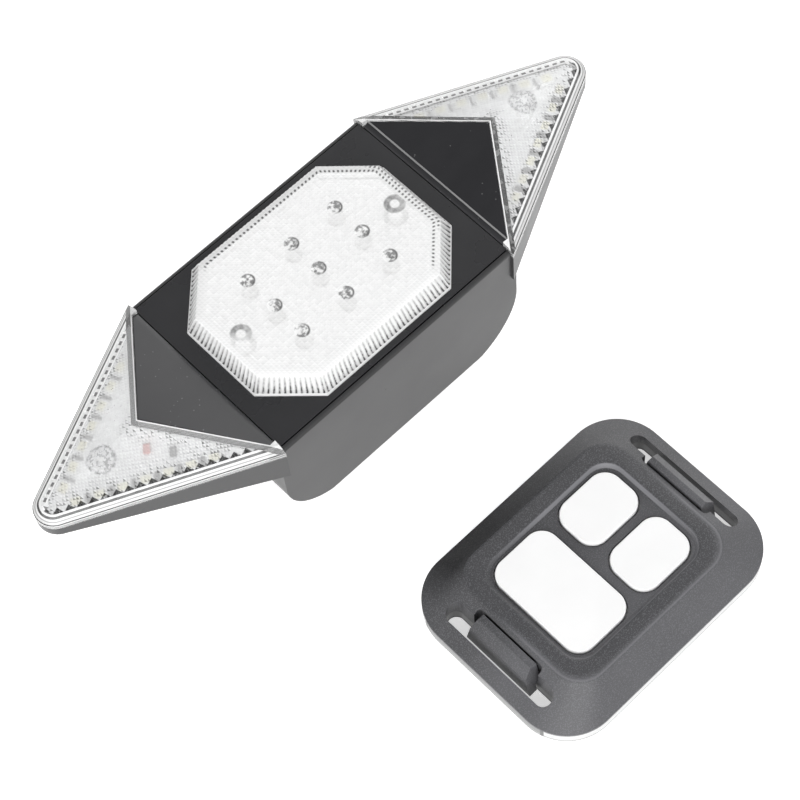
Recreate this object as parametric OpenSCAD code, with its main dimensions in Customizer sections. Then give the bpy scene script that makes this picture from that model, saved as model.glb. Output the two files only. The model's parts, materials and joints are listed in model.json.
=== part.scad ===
// Bicycle turn signal light with its wireless remote, both lying face up on one surface.
// Millimetres. Origin: centre of the lamp's flat back. X runs along the lamp, Z out of its face.

/* [Lamp body] */
// Distance between the ridges where the two wings begin
body_l = 60.4; // [58:0.2:62]
// Width of the middle face
body_w = 42.6; // [42:0.2:43.4]
// Height of the middle face above the back
body_h = 30.5; // [30:0.5:32]
// Thickness of the housing walls
wall = 2.2; // [2:0.1:2.3]
// Radius of the two lower corners at the ends of the housing
back_r = 15; // [13:0.5:15.5]
// Radius of the two long lower edges of the housing
edge_r = 1; // [0.8:0.1:1.4]
// Thickness of the bezel, the caps' ridges and the lens rims
bezel_t = 1.6; // [1.5:0.1:1.8]
// Thickness of the housing's lip beside the bezel
lip_t = 0.9; // [0.8:0.1:1]
// Width of the shadow groove between bezel and lip
groove_w = 0.25; // [0.15:0.05:0.25]

/* [Centre lens] */
// Length of the eight-sided lens at the face
lens_l = 50.4; // [49:0.2:51]
// Width of the eight-sided lens at the face
lens_w = 37.6; // [36.6:0.2:38]
// Length of each cut corner along either edge
lens_cut = 9.5; // [9:0.1:10]
// Height of the lens above the face
lens_h = 4.2; // [4:0.1:5]
// How far the lens sides lean in towards the top
lens_lean = 1; // [0.6:0.1:1.4]
// Wall of the centre lens
lens_t = 1.1; // [0.9:0.1:1.2]
// Depth of the lens seat in the bezel
lens_seat = 0.6; // [0.4:0.1:0.8]
// Distance of the lens posts from the middle
post_x = 19.5; // [19:0.1:19.8]
// Diameter of the lens posts
post_d = 4.5; // [4.2:0.1:4.7]

/* [Wings] */
// Distance from the middle to where the wing edges would meet
wing_tip = 74.6; // [72:0.2:76]
// Slope of the wing edges, as width gained per unit of length
wing_slope = 0.48; // [0.47:0.005:0.485]
// Radius of the rounded wing tip
tip_r = 4.1; // [3.6:0.1:4.6]
// Distance from the middle to the peak where cap and lens meet
peak_x = 44.6; // [44:0.2:45]
// Height of the peak above the middle face
peak_h = 4.9; // [4.5:0.1:5.2]
// Half width of the cap at its ridge
cap_y = 19.2; // [19:0.1:19.4]
// Height of the ridge above the middle face
ridge_h = 0.7; // [0.5:0.1:0.9]
// Thickness of the cap plate
cap_t = 1.5; // [1.2:0.1:1.8]
// Wall of the wing lens
wing_lens_t = 1.1; // [1:0.1:1.2]
// Height of the wing tray's edge at the body
tray_root_h = 7.7; // [7:0.1:8.5]
// Height of the wing tray's edge at the tip
tray_tip_h = 1.9; // [1.8:0.1:2.4]
// Distance of the wing lens post from the middle
wing_post_x = 53.5; // [53:0.1:54]

/* [Lights and boards] */
// Diameter of a round signal light
led_d = 3; // [2.8:0.1:3.1]
// Spacing of the round lights along the lamp
led_pitch_x = 11.1; // [10.8:0.1:11.2]
// Spacing of the round lights across the lamp
led_pitch_y = 7.5; // [7.2:0.1:7.8]
// Thickness of the main board
board_t = 1.6; // [1.4:0.1:1.6]
// Thickness of the wing boards
wing_board_t = 1.2; // [1:0.1:1.2]
// Number of square lights on each wing arm
arm_leds = 7; // [5:1:7]
// Spacing of the square lights along an arm
arm_pitch = 4.3; // [4:0.1:4.4]
// Distance of the square lights from the wing's edge
arm_inset = 4; // [3.8:0.1:4.1]

/* [Battery] */
// Length of the battery cell
cell_l = 43; // [42:0.5:44]

/* [Bracket slot] */
// Width of the bracket slot at the back
slot_w = 14; // [12:0.5:15]
// Width of the bracket slot under its lips
slot_under_w = 20; // [18:0.5:21]
// Thickness of the lips
slot_lip = 2; // [1.8:0.1:2.2]
// Depth of the bracket slot
slot_depth = 5; // [4.8:0.1:5.2]
// Distance from the middle to the closed end of the slot
slot_stop = 12; // [10:0.5:13]

/* [Remote] */
// Position of the remote along the lamp
remote_x = 1.6; // [-10:0.1:10]
// Position of the remote beside the lamp
remote_y = -69.5; // [-90:0.1:-60]
// Length of the remote
remote_l = 58.5; // [58:0.1:60]
// Width of the remote
remote_w = 44; // [43.4:0.1:45]
// Corner radius of the remote
remote_r = 10.5; // [9:0.5:11]
// Thickness of the pad under the remote
pad_h = 0.4; // [0.3:0.1:0.5]
// Height of the base's top edge
base_h = 3.1; // [3:0.1:3.3]
// Height of the upright rim at the foot of the cover
rim_h = 0.6; // [0.4:0.1:0.8]
// Height where the cover's slope turns into the shoulder
shoulder_h = 9.5; // [9.3:0.1:9.6]
// Total height of the remote
remote_h = 9.8; // [9.7:0.1:10]
// Depth of the dish that holds the keys
dish_depth = 0.8; // [0.6:0.1:0.9]
// Distance from the middle of a strap slot to the end of the remote
strap_end = 4.7; // [4.6:0.05:4.8]
// Length of a strap slot
strap_l = 26.4; // [26:0.2:27]
// Width of a strap slot
strap_w = 3.6; // [3.5:0.1:3.8]
// Length of the hook bar in a strap slot
hook_l = 16.5; // [15:0.5:17]

/* [Keys] */
// Length of the large key
big_l = 14.4; // [14:0.1:14.6]
// Width of the large key
big_w = 23.6; // [23:0.1:24.4]
// Position of the large key along the remote
big_x = -8.65; // [-8.7:0.05:-8.6]
// Length of a small key
small_l = 14.3; // [14:0.1:14.4]
// Width of a small key
small_w = 10.7; // [10.2:0.1:10.8]
// Position of the small keys along the remote
small_x = 8.25; // [8.2:0.05:8.4]
// Distance of the small keys from the remote's centre line
small_y = 6.5; // [6.45:0.05:6.55]
// Corner radius of the keys
key_r = 3.6; // [3:0.1:3.8]
// Height of the keys above the dish
key_proud = 0.7; // [0.5:0.1:0.8]
// How far a key is pressed
key_travel = 0.5; // [0.4:0.1:0.5]
// Gap round moving pieces
gap = 0.35; // [0.3:0.05:0.4]

/* [Hidden] */
$fn = 64;
eps = 0.02;
over = 1;
black = [0.06, 0.06, 0.065];
clear = [0.9, 0.92, 0.95, 0.4];
white = [0.93, 0.93, 0.92];
metal = [0.7, 0.7, 0.72];
green = [0.1, 0.32, 0.17];

rim_z = body_h - bezel_t;
ridge_x = body_l / 2;
ridge_w = 1.35;
face_x = ridge_x - ridge_w;
joint_gap = 0.1;
hole_gap = 0.3;
head_gap = 0.4;
screw_end = 0.3;
wing_x = face_x + joint_gap;
half_angle = atan(wing_slope);
tip_c = wing_tip - tip_r / sin(half_angle);
arm_tilt = atan(peak_h / ((wing_tip - peak_x) * sin(half_angle)));
ridge_top = body_h + ridge_h;
peak_top = body_h + peak_h;
cap_edge = atan(cap_y / (peak_x - ridge_x));
cap_drop = cap_t / cos(atan((peak_h - ridge_h) / (peak_x - ridge_x)));

seal_w = 1;
seal_h = 1;
seal_r = 1.5;
cavity_edge_r = 0.8;
in_x = ridge_x - wall;
in_y = body_w / 2 - wall;

lens_top = body_h + lens_h;
post_top = lens_top - lens_t + eps;
seat_ledge = 1.8;
seat_gap = 0.05;
window_in = 1;
window_cut = lens_cut - window_in;
led_room = 2.4;
board_top = body_h - led_room;
board_z = board_top - board_t;
board_end_gap = 1.6;
board_side_gap = 1.3;
board_l = 2 * (in_x - board_end_gap);
board_w = 2 * (in_y - board_side_gap);
board_cut = 7.5;
board_rib_x = 14;
board_rib_l = 4;
board_rib_w = 2;
led_h = 5.3;
led_gap = 0.2;
reflector_top = body_h - 0.4;
reflector_t = 1;
reflector_gap = 0.4;

wing_board_top = rim_z - joint_gap;
wing_board_z = wing_board_top - wing_board_t;
pocket_inset = 1.8;
pocket_end = 1;
pocket_x = ridge_x + pocket_end;
ledge = 1.4;
arm_start = 12.4;
tray_tilt = atan((tray_root_h - tray_tip_h) / (tip_c + tip_r - ridge_x));
wing_peak = (wing_tip - wing_post_x) * sin(half_angle) * tan(arm_tilt);
wing_drop = wing_lens_t / cos(arm_tilt);

screw_d = 2;
screw_l = 5.5;
head_d = 3.8;
head_h = 1.4;
tray_seat = 1.4;
boss_t = 1.5;
wing_seat_z = wing_board_z - tray_seat;
post_dip = 0.3;

tube_end_gap = 3;
tube_side_gap = 2.8;
tube_x = in_x - tube_end_gap;
tube_y = in_y - tube_side_gap;
tube_d = 6.4;
bezel_post_d = 5;
tube_top = 20;
rear_head_d = 4.2;
rear_head_h = 1.8;
rear_seat_z = 12;
rear_screw_d = 2.5;
rear_screw_l = 13;

block_roof = 2.4;
block_top = slot_depth + block_roof;
cradle_h = 6;
cradle_w = 18;
cradle_floor = 1.2;
cradle_end = 1;
rest_x = 20;
rest_w = 2;
tab_t = 0.5;
cell_gap = 2.3;
cell_d = board_z - head_h - cell_gap - block_top - cradle_floor;
cell_z = block_top + cradle_floor + cell_d / 2;

power_x = -8;
power_drop = 3.5;
power_z = board_z - power_drop;
power_r = 2.5;
power_flange_r = 3.1;
power_flange_t = 0.85;
power_proud = 0.8;
power_travel = 0.5;
plunger_r = 0.9;
plunger_in = 1;
switch_gap = 0.6;
power_flange_y = in_y - gap - power_flange_t;
power_body_y = power_flange_y - power_travel - switch_gap;

port_x = 8;
port_drop = 3.9;
port_z = board_z - port_drop;
port_w = 9;
port_h = 4.4;
flap_w = 11.6;
flap_t = 1.2;
flap_h = 9.8;
flap_y = body_w / 2 + gap;
hinge_drop = 6.6;
hinge_z = port_z - hinge_drop;
hinge_out = 0.15;
hinge_y = flap_y + flap_t / 2 + hinge_out;
hinge_r = 0.7;
barrel_r = 1.1;
hinge_clear = 0.05;
lug_t = 1.6;
lug_r = 1.6;

cover_floor = remote_h - dish_depth;
cover_t = 1.5;
cover_under = cover_floor - cover_t;
cavity_end = 9.45;
cavity_side = 3.15;
cavity_l = remote_l - 2 * cavity_end;
cavity_w = remote_w - 2 * cavity_side;
cavity_r = 2;
strap_x = remote_l / 2 - strap_end;
hook_in = 2.8;
hook_x = strap_x - hook_in;
hook_gap = 0.45;
hook_foot = 1.2;
skirt_end = 8.8;
skirt_side = 5.4;
shoulder = [remote_l - 2 * skirt_end, remote_w - 2 * skirt_side, 6];
shoulder_w = 2.8;
rim = shoulder - [2 * shoulder_w, 2 * shoulder_w, 1];
dish_slope = 1.2;
dish = rim - [2 * dish_slope, 2 * dish_slope, 0.8];
base_floor = 1.2;
clip_t = 0.2;
coin_d = 20;
coin_h = 3.2;
coin_z = base_floor + clip_t;
rboard_z = coin_z + coin_h;
rboard_t = 1;
rboard_end = 1.4;
rboard_side = 3.5;
rboard_l = cavity_l - 2 * rboard_end;
rboard_w = cavity_w - 2 * rboard_side;
stand_in = 2.5;
stand_x = rboard_l / 2 - stand_in;
stand_y = rboard_w / 2 - stand_in;
stand_w = 2.4;
switch_z = rboard_z + rboard_t;
switch_w = 4.5;
switch_h = 1.2;
key_flange = 0.8;
key_flange_h = 0.55;
key_flange_z = cover_under - gap - key_flange_h;
key_top = cover_floor + key_proud;
key_roof = 1;
key_wall = 1;
stem_d = 2.8;
switch_floor = 0.05;
rplunger_r = 0.8;
rplunger_out = 0.3;
rplunger_z = switch_z + switch_floor + gap + key_travel;
rplunger_h = switch_z + switch_h + key_travel + rplunger_out - rplunger_z;
rscrew_end = 7.35;
rscrew_side = 5.25;
rscrew_x = remote_l / 2 - rscrew_end;
rscrew_y = remote_w / 2 - rscrew_side;
rscrew_l = 3;
rscrew_z = pad_h + head_h;

KEYS = [
  [big_x, 0, big_l, big_w],
  [small_x, small_y, small_l, small_w],
  [small_x, -small_y, small_l, small_w]
];

// Slab with rounded upright corners, centred on the Z axis
module rounded_slab(l, w, r, h) {
  for (x = [-1, 1], y = [-1, 1])
    translate([x * (l / 2 - r), y * (w / 2 - r), 0]) cylinder(r = r, h = h);
  translate([-l / 2, r - w / 2, 0]) cube([l, w - 2 * r, h]);
  translate([r - l / 2, -w / 2, 0]) cube([l - 2 * r, w, h]);
}

// Slab with its four corners cut off at an angle
module cut_slab(l, w, cut, h) {
  x = l / 2;
  y = w / 2;
  linear_extrude(height = h)
    polygon([[cut - x, -y], [x - cut, -y], [x, cut - y], [x, y - cut],
      [x - cut, y], [cut - x, y], [-x, y - cut], [-x, cut - y]]);
}

// Box with rounded lower corners at both ends and rounded long lower edges
module tub(l, w, r_end, r_edge, z0, z1) {
  intersection() {
    union() {
      for (x = [-1, 1])
        translate([x * (l / 2 - r_end), w / 2 + over, z0 + r_end])
          rotate([90, 0, 0]) cylinder(r = r_end, h = w + 2 * over);
      translate([-l / 2, -w / 2 - over, z0 + r_end]) cube([l, w + 2 * over, z1 - z0 - r_end]);
      translate([r_end - l / 2, -w / 2 - over, z0]) cube([l - 2 * r_end, w + 2 * over, z1 - z0]);
    }
    union() {
      for (y = [-1, 1])
        translate([-l / 2 - over, y * (w / 2 - r_edge), z0 + r_edge])
          rotate([0, 90, 0]) cylinder(r = r_edge, h = l + 2 * over);
      translate([-l / 2 - over, -w / 2, z0 + r_edge]) cube([l + 2 * over, w, z1 - z0 - r_edge]);
      translate([-l / 2 - over, r_edge - w / 2, z0]) cube([l + 2 * over, w - 2 * r_edge, z1 - z0]);
    }
  }
}

// Upright prism on the right wing's outline, drawn in from the edge by inset
module wing_prism(inset, x0, z0, z1) {
  r = tip_r - inset;
  y0 = (wing_tip - inset / sin(half_angle) - x0) * wing_slope;
  tx = tip_c + r * sin(half_angle);
  ty = r * cos(half_angle);
  translate([0, 0, z0]) {
    linear_extrude(height = z1 - z0) polygon([[x0, -y0], [tx, -ty], [tx, ty], [x0, y0]]);
    translate([tip_c, 0, 0]) cylinder(r = r + eps, h = z1 - z0);
  }
}

// Everything under the two slopes that rise from the wing's edges, lowered by drop
module under_slopes(drop) {
  size = 2 * wing_tip;
  intersection_for (s = [0, 1])
    mirror([0, s, 0])
      translate([wing_tip, 0, body_h - drop]) rotate([0, 0, 180 - half_angle])
        rotate([arm_tilt, 0, 0]) translate([-size / 2, -size / 2, -size]) cube(size);
}

// Upright prism on the outline of the right wing's cap, widened by grow
module cap_prism(grow, z0, z1) {
  tip = peak_x + grow / sin(cap_edge);
  x0 = wing_x - over;
  y0 = (tip - ridge_x) * tan(cap_edge);
  translate([0, 0, z0]) linear_extrude(height = z1 - z0)
    polygon([[x0, -y0], [ridge_x, -y0], [tip, 0], [ridge_x, y0], [x0, y0]]);
}

// Everything below the sloped underside of the wing tray, lifted by lift
module under_tray(lift) {
  size = 2 * wing_tip;
  translate([ridge_x, 0, rim_z - tray_root_h + lift]) rotate([0, -tray_tilt, 0])
    translate([-size / 2, -size / 2, -size]) cube(size);
}

// Copies its children onto both wings
module both_wings() {
  for (s = [0, 1]) mirror([s, 0, 0]) children();
}

// Places its children at the four rear screw tubes
module at_tubes() {
  for (x = [-1, 1], y = [-1, 1]) translate([x * tube_x, y * tube_y, 0]) children();
}

// Obround hole of a strap slot
module strap_hole(z0, z1) {
  r = strap_w / 2;
  translate([-r, r - strap_l / 2, z0]) cube([strap_w, strap_l - strap_w, z1 - z0]);
  for (y = [-1, 1]) translate([0, y * (strap_l / 2 - r), z0]) cylinder(r = r, h = z1 - z0);
}

module tray_pockets() {
  wing_prism(pocket_inset, pocket_x, wing_board_z, body_h);
  difference() {
    wing_prism(pocket_inset + ledge, pocket_x + ledge, rim_z - tray_root_h, body_h);
    under_tray(wall);
    translate([wing_post_x, 0, 0]) cylinder(d = head_d + 2 * boss_t, h = wing_board_z);
  }
}

module bracket_slot() {
  y_end = body_w;
  translate([-slot_w / 2, -slot_stop, -over]) cube([slot_w, y_end, slot_depth + over]);
  translate([-slot_under_w / 2, -slot_stop, slot_lip])
    cube([slot_under_w, y_end, slot_depth - slot_lip]);
}

// Lip beside the bezel along one long side, rounded on its outer edge
module side_lip() {
  drop = 0.2;
  r = 0.8;
  l = 2 * face_x;
  h = bezel_t - drop + eps;
  translate([-face_x, body_w / 2 - lip_t, rim_z - eps]) intersection() {
    cube([l, lip_t, h]);
    union() {
      cube([l, lip_t, h - r]);
      translate([0, -r, 0]) cube([l, lip_t, h]);
      translate([0, lip_t - r, h - r]) rotate([0, 90, 0]) cylinder(r = r, h = l);
    }
  }
}

module hinge_lugs() {
  for (s = [-1, 1])
    translate([port_x + s * (flap_w / 2 + gap + lug_t / 2) - lug_t / 2, 0, hinge_z]) {
      translate([0, in_y + over, -lug_r]) cube([lug_t, hinge_y - in_y - over, 2 * lug_r]);
      translate([0, hinge_y, 0]) rotate([0, 90, 0]) cylinder(r = lug_r, h = lug_t);
    }
}

module rear_housing() {
  color(black) difference() {
    union() {
      difference() {
        union() {
          tub(body_l, body_w, back_r, edge_r, 0, rim_z);
          both_wings() difference() {
            wing_prism(0, wing_x, rim_z - 2 * tray_root_h, rim_z);
            under_tray(0);
          }
        }
        tub(2 * in_x, 2 * in_y, back_r - wall, cavity_edge_r, wall, body_h);
        both_wings() tray_pockets();
      }
      intersection() {
        at_tubes() translate([0, 0, wall]) cylinder(d = tube_d, h = tube_top - wall);
        tub(body_l, body_w, back_r, edge_r, 0, rim_z);
      }
      for (s = [0, 1]) mirror([0, s, 0]) side_lip();
      for (x = [-1, 1], s = [0, 1]) mirror([0, s, 0])
        translate([x * board_rib_x - board_rib_l / 2, in_y - board_rib_w, wall])
          cube([board_rib_l, board_rib_w + over, board_z - wall]);
      translate([-slot_under_w / 2 - wall, -slot_stop - wall, wall - over])
        cube([slot_under_w + 2 * wall, in_y + slot_stop + wall + over, block_top - wall + over]);
      for (x = [-1, 1]) translate([x * rest_x - rest_w / 2, -cradle_w / 2, wall - over])
        cube([rest_w, cradle_w, block_top - wall + over]);
      hinge_lugs();
    }
    translate([0, 0, rim_z - seal_h])
      rounded_slab(2 * (in_x + seal_w), 2 * (in_y + seal_w), seal_r, seal_h + over);
    at_tubes() {
      translate([0, 0, -over]) cylinder(d = rear_head_d + head_gap, h = rear_seat_z + over);
      cylinder(d = rear_screw_d + hole_gap, h = tube_top + over);
    }
    both_wings() translate([wing_post_x, 0, 0]) {
      cylinder(d = head_d + head_gap, h = wing_seat_z);
      cylinder(d = screw_d + hole_gap, h = body_h);
    }
    bracket_slot();
    translate([power_x, in_y - over, power_z]) rotate([-90, 0, 0])
      cylinder(r = power_r + gap, h = wall + 2 * over);
    translate([port_x - port_w / 2, in_y - over, port_z - port_h / 2])
      cube([port_w, wall + 2 * over, port_h]);
    translate([port_x - flap_w, hinge_y, hinge_z]) rotate([0, 90, 0])
      cylinder(r = hinge_r + hinge_clear, h = 2 * flap_w);
  }
}

module seal_ring() {
  color([0.12, 0.12, 0.12]) translate([0, 0, rim_z - seal_h]) difference() {
    rounded_slab(2 * (in_x + seal_w), 2 * (in_y + seal_w), seal_r, seal_h);
    translate([0, 0, -over]) rounded_slab(2 * in_x, 2 * in_y, seal_r - seal_w / 2, seal_h + 2 * over);
  }
}

module front_bezel() {
  w = body_w / 2 - lip_t - groove_w;
  color(black) difference() {
    union() {
      translate([-face_x, -w, rim_z]) cube([2 * face_x, 2 * w, bezel_t]);
      at_tubes() translate([0, 0, tube_top]) cylinder(d = bezel_post_d, h = rim_z - tube_top + eps);
    }
    translate([0, 0, body_h - lens_seat])
      cut_slab(lens_l + 2 * seat_gap, lens_w + 2 * seat_gap, lens_cut, lens_seat + over);
    translate([0, 0, rim_z - over])
      cut_slab(lens_l - 2 * seat_ledge, lens_w - 2 * seat_ledge, window_cut, bezel_t + 2 * over);
    at_tubes() translate([0, 0, rear_seat_z]) cylinder(d = rear_screw_d, h = rear_screw_l);
  }
}

module wing_cap() {
  color(black) intersection() {
    cap_prism(-joint_gap, rim_z - over, peak_top + over);
    translate([0, body_w, 0]) rotate([90, 0, 0]) linear_extrude(height = 2 * body_w)
      polygon([[wing_x, rim_z], [ridge_x, rim_z], [ridge_x, ridge_top - cap_drop],
        [peak_x, peak_top - cap_drop], [peak_x, peak_top], [ridge_x, ridge_top], [wing_x, body_h]]);
  }
}

module left_wing_cap() {
  mirror([1, 0, 0]) wing_cap();
}

module right_wing_cap() {
  wing_cap();
}

// Solid shape of the centre lens, drawn in from every side by inset
module lens_shape(inset, z0, z1) {
  l = lens_l - 2 * inset;
  w = lens_w - 2 * inset;
  hull() {
    translate([0, 0, z0]) cut_slab(l, w, lens_cut - inset / 2, body_h - z0);
    translate([0, 0, z1 - eps])
      cut_slab(l - 2 * lens_lean, w - 2 * lens_lean, lens_cut - inset / 2 - lens_lean / 2, eps);
  }
}

module centre_lens() {
  color(clear) {
    difference() {
      lens_shape(0, body_h - lens_seat, lens_top);
      lens_shape(lens_t, body_h - lens_seat - over, lens_top - lens_t);
    }
    for (x = [-1, 1]) translate([x * post_x, 0, board_top]) difference() {
      cylinder(d = post_d, h = post_top - board_top);
      cylinder(d = screw_d, h = screw_l - board_t + screw_end);
    }
  }
}

module wing_lens() {
  color(clear) {
    difference() {
      intersection() {
        wing_prism(0, wing_x, rim_z, peak_top + over);
        under_slopes(0);
      }
      cap_prism(0, rim_z - over, peak_top + over);
      difference() {
        intersection() {
          wing_prism(wing_lens_t, wing_x + wing_lens_t, rim_z - over, peak_top);
          under_slopes(wing_drop);
        }
        cap_prism(wing_lens_t, rim_z - 2 * over, peak_top + over);
      }
    }
    translate([wing_post_x, 0, wing_board_top]) difference() {
      cylinder(d = post_d, h = body_h + wing_peak - wing_drop - wing_board_top - post_dip);
      cylinder(d = screw_d, h = screw_l - wing_board_t - tray_seat + screw_end);
    }
  }
}

module left_wing_lens() {
  mirror([1, 0, 0]) wing_lens();
}

module right_wing_lens() {
  wing_lens();
}

module reflector() {
  l = lens_l - 2 * (seat_ledge + reflector_gap);
  w = lens_w - 2 * (seat_ledge + reflector_gap);
  rim = 1;
  hollow = reflector_top - reflector_t - board_top;
  color(white) difference() {
    translate([0, 0, board_top]) cut_slab(l, w, window_cut, reflector_top - board_top);
    translate([0, 0, board_top - over])
      cut_slab(l - 2 * rim, w - 2 * rim, window_cut - rim / 2, hollow + over);
    for (x = [-1, 0, 1], y = [-1, 0, 1])
      translate([x * led_pitch_x, y * led_pitch_y, board_top]) cylinder(d = led_d + 2 * led_gap, h = led_h);
    for (x = [-1, 1])
      translate([x * post_x, 0, board_top]) cylinder(d = post_d + 2 * led_gap, h = led_h);
  }
}

module signal_led() {
  flange_d = led_d + 0.3;
  flange_h = 1;
  cylinder(d = flange_d, h = flange_h);
  cylinder(d = led_d, h = led_h - led_d / 2);
  translate([0, 0, led_h - led_d / 2]) sphere(d = led_d);
}

module signal_leds() {
  color([0.95, 0.95, 0.9, 0.6])
    for (x = [-1, 0, 1], y = [-1, 0, 1])
      translate([x * led_pitch_x, y * led_pitch_y, board_top]) signal_led();
}

module main_board() {
  color(green) difference() {
    translate([0, 0, board_z]) cut_slab(board_l, board_w, board_cut, board_t);
    for (x = [-1, 1])
      translate([x * post_x, 0, board_z - over]) cylinder(d = screw_d + hole_gap, h = board_t + 2 * over);
  }
}

module radio_module() {
  card_l = 16;
  card_w = 8;
  card_t = 1;
  chip_w = 5;
  edge_gap = 1.8;
  side = edge_gap - board_w / 2;
  color([0.1, 0.15, 0.4]) {
    translate([-card_l / 2, side, board_z - card_t]) cube([card_l, card_w, card_t]);
    translate([-chip_w, side + (card_w - chip_w) / 2, board_z - 2 * card_t])
      cube([chip_w, chip_w, card_t]);
  }
}

module wing_board() {
  clearance = 0.2;
  color(white) difference() {
    wing_prism(pocket_inset + clearance, pocket_x + clearance, wing_board_z, wing_board_top);
    translate([wing_post_x, 0, wing_board_z - over])
      cylinder(d = screw_d + hole_gap, h = wing_board_t + 2 * over);
  }
}

module left_wing_board() {
  mirror([1, 0, 0]) wing_board();
}

module right_wing_board() {
  wing_board();
}

module wing_leds() {
  led_l = 2.8;
  led_w = 1.9;
  led_t = 0.8;
  lens_d = 1.3;
  lens_proud = 0.05;
  color([0.95, 0.92, 0.7])
    for (s = [0, 1], i = [0 : arm_leds - 1]) mirror([0, s, 0])
      translate([wing_tip, 0, wing_board_top]) rotate([0, 0, 180 - half_angle])
        translate([arm_start + i * arm_pitch, arm_inset, 0]) {
          translate([-led_l / 2, -led_w / 2, 0]) cube([led_l, led_w, led_t]);
          cylinder(d = lens_d, h = led_t + lens_proud);
        }
}

module left_wing_leds() {
  mirror([1, 0, 0]) wing_leds();
}

module right_wing_leds() {
  wing_leds();
}

// Pan-head screw pointing up, with the head's top against z = 0
module screw(d, l, hd, hh) {
  cross_l = hd * 0.7;
  cross_w = 0.5;
  translate([0, 0, -hh]) difference() {
    cylinder(d = hd, h = hh);
    for (a = [0, 90]) rotate([0, 0, a])
      translate([-cross_l / 2, -cross_w / 2, -over]) cube([cross_l, cross_w, over + hh / 2]);
  }
  translate([0, 0, -eps]) cylinder(d = d, h = l + eps);
}

module lens_screws() {
  color(metal) {
    for (x = [-1, 1])
      translate([x * post_x, 0, board_z]) screw(screw_d, screw_l, head_d, head_h);
    both_wings() translate([wing_post_x, 0, wing_seat_z])
      screw(screw_d, screw_l, head_d, head_h);
  }
}

module rear_screws() {
  color(metal) at_tubes() translate([0, 0, rear_seat_z])
    screw(rear_screw_d, rear_screw_l, rear_head_d, rear_head_h);
}

module battery_cradle() {
  l = cell_l + 2 * (tab_t + cradle_end);
  color([0.15, 0.15, 0.16]) difference() {
    translate([-l / 2, -cradle_w / 2, block_top]) cube([l, cradle_w, cradle_h]);
    translate([-cell_l / 2 - tab_t, 0, cell_z]) rotate([0, 90, 0])
      cylinder(d = cell_d, h = cell_l + 2 * tab_t);
  }
}

module battery_cell() {
  nub = 0.8;
  nub_d = 5.5;
  color([0.15, 0.35, 0.6]) translate([-cell_l / 2, 0, cell_z]) rotate([0, 90, 0]) {
    cylinder(d = cell_d, h = cell_l - nub);
    cylinder(d = nub_d, h = cell_l);
  }
}

module battery_tab(x) {
  w = 6;
  margin = 2;
  color(metal) translate([x, -w / 2, block_top + cradle_floor + margin])
    cube([tab_t, w, cell_d - 2 * margin]);
}

module plus_tab() {
  battery_tab(cell_l / 2);
}

module minus_tab() {
  battery_tab(-cell_l / 2 - tab_t);
}

module power_switch() {
  w = 6;
  depth = 3.4;
  bottom = 2.1;
  bore = 2;
  color([0.2, 0.2, 0.2]) difference() {
    translate([power_x - w / 2, power_body_y - depth, power_z - bottom])
      cube([w, depth, board_z - power_z + bottom]);
    translate([power_x, power_body_y + over, power_z]) rotate([90, 0, 0])
      cylinder(r = plunger_r + gap, h = bore + over);
  }
}

module power_plunger() {
  color([0.85, 0.85, 0.82]) translate([power_x, power_flange_y, power_z]) rotate([90, 0, 0])
    cylinder(r = plunger_r, h = power_flange_y - power_body_y + plunger_in);
}

module power_button() {
  color([0.25, 0.25, 0.26]) translate([power_x, power_flange_y, power_z]) rotate([-90, 0, 0]) {
    cylinder(r = power_flange_r, h = power_flange_t);
    cylinder(r = power_r, h = body_w / 2 + power_proud - power_flange_y);
  }
}

module charging_socket() {
  l = 7.6;
  depth = 5.4;
  h = 2.8;
  shell = 0.4;
  back = 1;
  color(metal) translate([port_x - l / 2, board_w / 2 - depth, port_z - h / 2]) difference() {
    cube([l, depth, board_z - port_z + h / 2]);
    translate([shell, back, shell]) cube([l - 2 * shell, depth, h - 2 * shell]);
  }
}

module port_flap() {
  plug_gap = 0.4;
  plug_depth = 1;
  color([0.1, 0.1, 0.1]) {
    translate([port_x - flap_w / 2, flap_y, hinge_z]) cube([flap_w, flap_t, flap_h]);
    translate([port_x - port_w / 2 + plug_gap, flap_y - plug_depth, port_z - port_h / 2 + plug_gap])
      cube([port_w - 2 * plug_gap, plug_depth + eps, port_h - 2 * plug_gap]);
    translate([port_x - flap_w / 2, hinge_y, hinge_z]) rotate([0, 90, 0])
      cylinder(r = barrel_r, h = flap_w);
    translate([port_x - flap_w / 2 - gap - lug_t, hinge_y, hinge_z]) rotate([0, 90, 0])
      cylinder(r = hinge_r, h = flap_w + 2 * (gap + lug_t));
  }
}

// Moves its children to the remote
module on_remote() {
  translate([remote_x, remote_y, 0]) children();
}

// Places its children at the four remote screws
module at_remote_screws() {
  for (x = [-1, 1], y = [-1, 1]) translate([x * rscrew_x, y * rscrew_y, 0]) children();
}

// Tapers from one rounded outline at z0 to another at z1, each given as length, width and radius
module taper(a, z0, b, z1) {
  hull() {
    translate([0, 0, z0]) rounded_slab(a[0], a[1], a[2], eps, $fn = 32);
    translate([0, 0, z1 - eps]) rounded_slab(b[0], b[1], b[2], eps, $fn = 32);
  }
}

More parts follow.
